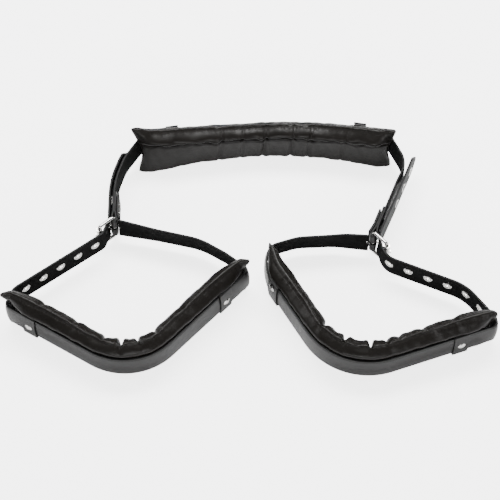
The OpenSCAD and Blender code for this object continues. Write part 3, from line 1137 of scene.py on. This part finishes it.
LEFT_LOOP = Route((
    (-162.6, 16.0, 0), (-114, 4.5, 150), (-60, -8.5, 90), (-26.5, -29.5, 55), (1.6, -53.6, 8),
    (-136, -200.5, 79), (-295.5, -104.8, 8), (-288, -81.5, 25), (-182.1, -3.6, 8), (-175, 16.6, 0)))
LEFT_BED = Route((
    (-158, 17.2, 0), (-114, 4.5, 150), (-62, -11, 90), (-26, -33, 60), (5, -50, 9),
    (-136, -200.5, 79), (-301, -101.5, 8), (-290, -83, 25), (-182.1, -3.6, 8), (-175, 16.6, 0)))
RIGHT_LOOP = Route((
    (146.5, -6.2, 0), (111, -3, 150), (58, -6, 60), (20.5, -18.5, 19), (17, -56, 60), (103, -200.5, 88),
    (297.3, -132, 7), (295.5, -120.1, 9), (262, -76, 60), (165.8, -35, 25), (159, -6.4, 0)))
RIGHT_BED = Route((
    (143.5, -5.8, 0), (111, -3, 150), (58, -6, 60), (17, -19, 20), (17, -56, 60),
    (103, -200.5, 88), (303, -130, 8), (262, -76, 60), (165.8, -35, 25), (159, -6.4, 0)))
NECK_WAY = (
    (-169.5, 17, 0), (-169.5, 72, 130), (-158, 107, 60), (-137, 140, 22), (-60, 152, 600),
    (39, 161, 500), (120, 154, 600), (176, 144, 14), (197, 100, 34), (184, 72, 80), (152, -5, 0))
NECK_PAD = Route(((-141, 124.5, 0), (-60, 137.5, 400), (39, 146, 500), (120, 139.5, 400), (179, 128, 0)))
LEFT_TAIL = Route(((-174.7, 20.2, 0), (-174.7, 72.8, 130), (-162.7, 109.3, 60), (-154.1, 122.8, 0)))
RIGHT_TAIL = Route(((159.8, -3.1, 0), (178.5, 41, 160), (209, 117, 0)))


def turned_end(heel: Place, up: Place, side: int, flap: float) -> list[Bend]:
    """The neck strap's end, round the heel bar and back up as a flap.

    Args:
        heel: the heel bar's place in plan millimetres.
        up: the way that the neck strap leaves.
        side: +1 or -1 for the side that the flap is on.
        flap: the flap's length.

    Returns:
        The end's points.
    """
    n = np.array(up) / np.linalg.norm(up)
    q = np.array([n[1], -n[0]]) * side
    h = np.array(heel, float)
    r, layer = 3.6, 1.45
    pts = [h + q * layer + n * 24, h + q * layer + n * 12]
    for a in range(0, 181, 15):
        t = math.radians(a)
        pts.append(h + r * (q * math.cos(t) - n * math.sin(t)))
    pts += [h - q * layer + n * 12, h - q * layer + n * flap]
    return [(float(p[0]), float(p[1]), 0.5) for p in pts]


def neck_track() -> Track:
    """The neck strap's whole run, with both of its turned ends.

    Returns:
        The track.
    """
    body = Route(NECK_WAY).points()
    ends = [np.array([[x + CENTRE[0], y + CENTRE[1]] for x, y, _ in turned_end(*end)]) * MM
            for end in ((LEFT_HEEL, LEFT_UP, -1, 40), (RIGHT_HEEL, RIGHT_UP, 1, 42))]
    return Track(np.vstack([ends[0][::-1], body[1:-1], ends[1]]))


@dataclass
class LegLoop:
    """One leg's loop: a strap, a pad and two tabs, placed in plan millimetres.

    The strap and the pad have a route each, because the strap is drawn in at the pad's corners. A
    crease is a place with its depth, width and slant. Each of the pad's ends closes on the strap by
    its share, hug, of what the end loses in thickness.
    """

    side: str
    body: str
    route: Route
    pad_route: Route
    outside: Side
    heel: Place
    aim: Place
    prong: int
    eyelets: int
    pad_from: Place
    pad_to: Place
    tabs: tuple[Place, Place]
    creases: tuple[tuple[Place, float, float, float], ...]
    lean: float
    ears: tuple[float, float]
    hug: tuple[float, float]

    def make(self, wardrobe: Wardrobe) -> list[bpy.types.Object]:
        """Builds the loop's soft pieces.

        Args:
            wardrobe: the materials.

        Returns:
            The new pieces.
        """
        track = Track(self.route.points())
        bed = Track(self.pad_route.points())
        start = bed.nearest(mm(*self.pad_from)) + 1 * MM
        end = bed.nearest(mm(*self.pad_to)) - 1 * MM
        slot = (mm(*self.heel), self.aim, self.prong)

        def tilt(s: float) -> float:
            """The plain strap's lean, fading out at the buckle and on the pad."""
            free = ease((s - 8 * MM) / (50 * MM))
            return self.lean * float(free * (1 - ease((s - start + 30 * MM) / (55 * MM))))

        strap = Strap(f"{self.side}_loop_strap_leather", self.body, self.route, self.outside,
                      f"{self.side}_loop_strap", eyelets=self.eyelets, lean=tilt, slots=(slot,))
        pieces = [strap.make(wardrobe)]
        log.info("%s strap laid, %.0f mm", self.side, track.length / MM)
        pieces.append(self._pad(bed, start, end).make(wardrobe))
        for place, tag in zip(self.tabs, ("inner", "outer")):
            pieces.append(Tab(f"{self.side}_pad_tab_{tag}_leather", self.body, track,
                              track.nearest(mm(*place)), 19 * MM, self.outside,
                              f"{self.side}_pad_tab_{tag}").make(wardrobe))
        return pieces

    def _pad(self, track: Track, start: float, end: float) -> Pad:
        """Lays out the pad inside the strap.

        Args:
            track: the strap's track.
            start: where the pad begins along it.
            end: where it ends.

        Returns:
            The pad, not yet made.
        """
        u = np.linspace(-1, 1, 121)
        s = start + (end - start) * (u + 1) / 2
        half = SEAM_T + (PAD_T / 2 - SEAM_T) * np.sqrt(np.clip(1 - np.abs(u) ** 6, 0, 1))
        h = track.heading(s)
        out = np.stack([-h[:, 1], h[:, 0]], axis=1) * self.outside.value
        off = PAD_OFF - (PAD_T / 2 - half) * np.where(u < 0, *self.hug)
        middle = Track(track.at(s) - out * off[:, None])
        creases = tuple(Crease(middle.nearest(mm(*p)), d * MM, w * MM, sl) for p, d, w, sl in self.creases)

        def clear(x: np.ndarray) -> np.ndarray:
            """How far the pad may stand out before it meets the strap."""
            return np.interp(x, middle.s, off) - STRAP_T / 2 - 0.35 * MM

        return Pad(f"{self.side}_pad_leather", self.body, middle,
                   tuple(f"{self.side}_pad_{n}" for n in ("outer_cover", "inner_cover", "foam")),
                   self.outside, creases, clear=clear, ears=self.ears)


@dataclass
class NeckBand:
    """The neck strap with its pad and keepers, and the loose tails at both buckles."""

    body: str = "sling"

    def make(self, wardrobe: Wardrobe) -> list[bpy.types.Object]:
        """Builds the neck band's soft pieces.

        Args:
            wardrobe: the materials.

        Returns:
            The new pieces.
        """
        track = neck_track()
        flat = Route(tuple((float(x / MM - CENTRE[0]), float(y / MM - CENTRE[1]), 0.2) for x, y in track.pts))
        slots = ((mm(*LEFT_HEEL), LEFT_AIM, -1), (mm(*RIGHT_HEEL), RIGHT_AIM, 1))
        pieces = [Strap("neck_strap_leather", self.body, flat, Side.LEFT, "neck_strap", bow=0.5 * MM,
                        slots=slots).make(wardrobe)]
        pieces.append(Pad("neck_pad_leather", self.body, Track(NECK_PAD.points()),
                          ("neck_pad_front_cover", "neck_pad_back_cover", "neck_pad_foam"), Side.LEFT,
                          creases=tuple(Crease(x * MM, d * MM, 2.2 * MM, 0.1) for x, d in (
                              (104, 1.6), (131, 1.2), (160, 2.2), (196, 1.8), (218, 1.6), (262, 1.0))),
                          shoulder=0.0, rolled=True, ears=(7 * MM, 4 * MM), peak=7 * MM,
                          lean=lambda s: -math.radians(14 - 11 * float(ease(s / 0.1)))).make(wardrobe))
        back = Track(Route(NECK_WAY).points())
        for place, tag in (((-98, 141), "left"), ((138, 143), "right")):
            pieces.append(Tab(f"neck_tab_{tag}_leather", self.body, back, back.nearest(mm(*place)),
                              15.5 * MM, Side.LEFT, reach=3.5 * MM, half=25 * MM).make(wardrobe))
        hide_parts("neck_tabs")
        for side, route, outside, slot in (("left", LEFT_TAIL, Side.LEFT, slots[0]),
                                           ("right", RIGHT_TAIL, Side.RIGHT, slots[1])):
            pieces.append(Strap(f"{side}_strap_tail_leather", self.body, route, outside, f"{side}_strap_tail",
                                eyelets=3, first=22 * MM, pointed=True, bow=0.4 * MM,
                                outer="strap_edge", slots=(slot,)).make(wardrobe))
        return pieces


@dataclass
class Fittings:
    """The metal that the CAD model already shapes, given its plate."""

    finishes: tuple[tuple[str, str], ...] = (
        ("roller", "nickel_roller"), ("rivets", "nickel"), ("eyelets", "nickel"),
        ("buckle_frame", "nickel"), ("buckle_prong", "nickel"), ("strap_end", "strap_edge"))

    def dress(self, wardrobe: Wardrobe) -> int:
        """Gives every metal node its plate, and the strap ends their leather.

        Args:
            wardrobe: the materials.

        Returns:
            How many nodes were dressed.
        """
        count = 0
        for name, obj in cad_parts.items():
            finish = next((f for word, f in self.finishes if word in name), "")
            if finish:
                for slot in obj.material_slots:
                    slot.material = wardrobe.cloth[finish]
                if not obj.material_slots:
                    obj.data.materials.append(wardrobe.cloth[finish])
                count += 1
        return count


@dataclass(frozen=True)
class SoftBox:
    """A rectangular soft light, in metres and watts."""

    name: str
    at: tuple[float, float, float]
    to: tuple[float, float, float]
    wide: float
    deep: float
    watts: float

    def hang(self) -> None:
        """Hangs the light and points it at its target."""
        data = bpy.data.lights.new(self.name, "AREA")
        data.shape = "RECTANGLE"
        data.size, data.size_y, data.energy = self.wide, self.deep, self.watts
        lamp = bpy.data.objects.new(self.name, data)
        lamp.location = self.at
        lamp.rotation_euler = (Vector(self.to) - Vector(self.at)).to_track_quat("-Z", "Y").to_euler()
        bpy.context.scene.collection.objects.link(lamp)


@dataclass
class Studio:
    """A pale floor, soft lights and the camera."""

    target: tuple[float, float, float] = (0.0, 0.0112, 0.0)
    distance: float = 2.4
    elevation: float = 60.0
    lens: float = 138.24
    ambient: float = 0.12
    floor_size: float = 14.0
    floor_shade: float = 0.93
    floor_seen_glow: float = 3.4
    boxes: tuple[SoftBox, ...] = (
        SoftBox("overhead", (0.0, 0.7, 1.75), (0, 0, 0), 1.7, 0.55, 72),
        SoftBox("front", (0.1, -2.2, 1.0), (0, 0, 0.02), 1.6, 0.35, 30),
        SoftBox("left", (-1.9, 0.1, 1.3), (0, 0, 0.02), 0.7, 0.9, 16),
        SoftBox("right", (1.9, 0.1, 1.3), (0, 0, 0.02), 0.7, 0.9, 14))

    def build(self) -> None:
        """Sets the floor, the lights, the room's own light and the camera."""
        self._floor()
        for box in self.boxes:
            box.hang()
        world = bpy.data.worlds.new("studio")
        bpy.context.scene.world = world
        world.use_nodes = True
        world.node_tree.nodes["Background"].inputs[0].default_value = (1, 1, 1, 1)
        world.node_tree.nodes["Background"].inputs[1].default_value = self.ambient
        self._camera()

    def _floor(self) -> None:
        """Lays a wide pale floor that glows for the camera, so that it stays even."""
        Bench.clear()
        bpy.ops.mesh.primitive_plane_add(size=self.floor_size, location=(0, 0, 0))
        floor = bpy.context.object
        floor.name = "floor"
        mat, nodes, paint = blank_material("floor_white")
        paint.inputs["Base Color"].default_value = (*(self.floor_shade,) * 3, 1)
        paint.inputs["Roughness"].default_value = 0.9
        paint.inputs["Specular IOR Level"].default_value = 0.0
        paint.inputs["Emission Color"].default_value = (1, 1, 1, 1)
        seen = nodes.add("ShaderNodeLightPath")
        glow = nodes.maths("MULTIPLY", seen.outputs["Is Camera Ray"], self.floor_seen_glow)
        nodes.join(nodes.maths("ADD", glow, self.ambient), paint.inputs["Emission Strength"])
        floor.data.materials.append(mat)

    def _camera(self) -> None:
        """The camera, looking down at the sling from the front."""
        data = bpy.data.cameras.new("camera")
        data.lens, data.sensor_width = self.lens, 36
        cam = bpy.data.objects.new("camera", data)
        e = math.radians(self.elevation)
        to = Vector(self.target)
        cam.location = to + Vector((0, -math.cos(e), math.sin(e))) * self.distance
        cam.rotation_euler = (to - cam.location).to_track_quat("-Z", "Y").to_euler()
        bpy.context.scene.collection.objects.link(cam)
        bpy.context.scene.camera = cam


def loops() -> tuple[LegLoop, LegLoop]:
    """The two leg loops, each in its own plan.

    Returns:
        The left loop and the right loop.
    """
    left = LegLoop(
        "left", "left_loop", LEFT_LOOP, LEFT_BED, Side.LEFT, LEFT_HEEL, LEFT_AIM,
        prong=-1, eyelets=5, pad_from=(-3, -57), pad_to=(-295, -105), tabs=((-31, -87), (-264, -121)),
        creases=(
            ((-151, -160), 9.0, 2.6, 0.1), ((-133, -163), 4.0, 2.2, -0.1), ((-170, -150), 2.2, 3.0, 0.1),
            ((-112, -148), 2.4, 3.0, -0.1), ((-200, -130), 1.4, 4.0, 0.2), ((-240, -108), 1.5, 4.0, 0.2),
            ((-80, -120), 1.2, 5.0, -0.1)),
        lean=math.radians(9), ears=(7 * MM, 9 * MM), hug=(0.85, 0.7))
    right = LegLoop(
        "right", "right_loop", RIGHT_LOOP, RIGHT_BED, Side.RIGHT, RIGHT_HEEL, RIGHT_AIM,
        prong=1, eyelets=6, pad_from=(17, -36), pad_to=(297, -132.5), tabs=((29, -76), (252, -147)),
        creases=(
            ((143, -163), 8.0, 2.4, 0.0), ((112, -150), 5.0, 2.6, 0.1), ((92, -128), 3.5, 3.4, 0.15),
            ((160, -158), 2.2, 2.6, 0.1), ((180, -153), 2.0, 3.0, -0.1), ((205, -145), 1.6, 4.0, 0.1),
            ((240, -132), 1.2, 5.0, 0.1)),
        lean=math.radians(-9), ears=(8 * MM, 4 * MM), hug=(0.45, 0.7))
    return left, right


def main() -> None:
    """Dresses the sling piece by piece and reports each one."""
    logging.basicConfig(level=logging.INFO, format="%(name)s: %(message)s")
    Studio().build()
    wardrobe = Wardrobe()
    wardrobe.fill()
    log.info("%d CAD nodes dressed", Fittings().dress(wardrobe))
    pieces = NeckBand().make(wardrobe)
    for loop in loops():
        pieces += loop.make(wardrobe)
    for piece in pieces:
        co = Bench.places(piece)
        log.info("%s: %d faces, from %s to %s mm", piece.name, len(piece.data.polygons),
                 np.round(co.min(0) / MM, 1), np.round(co.max(0) / MM, 1))
    Bench.clear()


if __name__ == "__main__":
    main()
